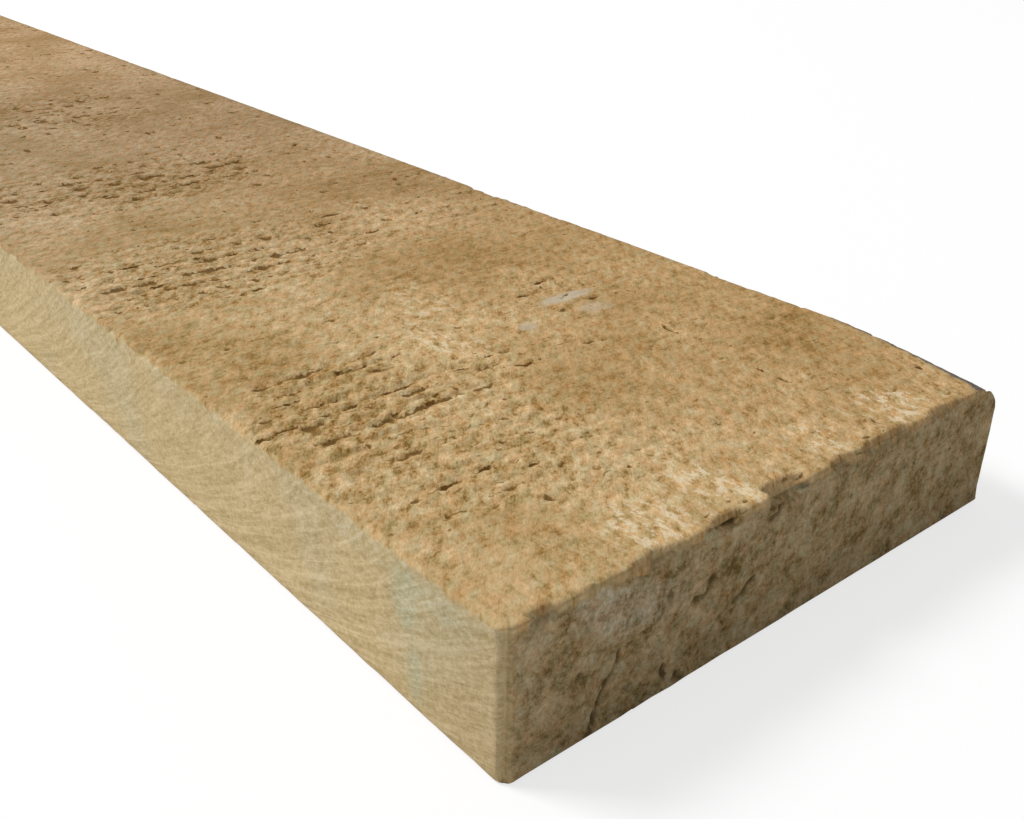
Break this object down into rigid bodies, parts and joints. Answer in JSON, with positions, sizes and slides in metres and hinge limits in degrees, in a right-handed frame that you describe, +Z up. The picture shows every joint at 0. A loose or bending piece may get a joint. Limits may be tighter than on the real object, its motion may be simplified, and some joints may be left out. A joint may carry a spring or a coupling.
{
  "type": "rough-sawn timber plank",
  "caption": "Rough-sawn softwood plank of rectangular section with worn arrises, a short wane at one end and square sawn ends, used as flat building stock.",
  "frame": {"origin": "on the floor, under the middle of the plank's underside", "axes": "+X along the grain towards the end with the wane, +Y across the width towards the edge with the wane, +Z up through the thickness"},
  "size_m": [1.8, 0.225, 0.05],
  "materials": {
    "sawn_timber": "rough-sawn, bare and weathered"
  },
  "bodies": {
    "root": {"plank": "sawn_timber"}
  },
  "joints": []
}
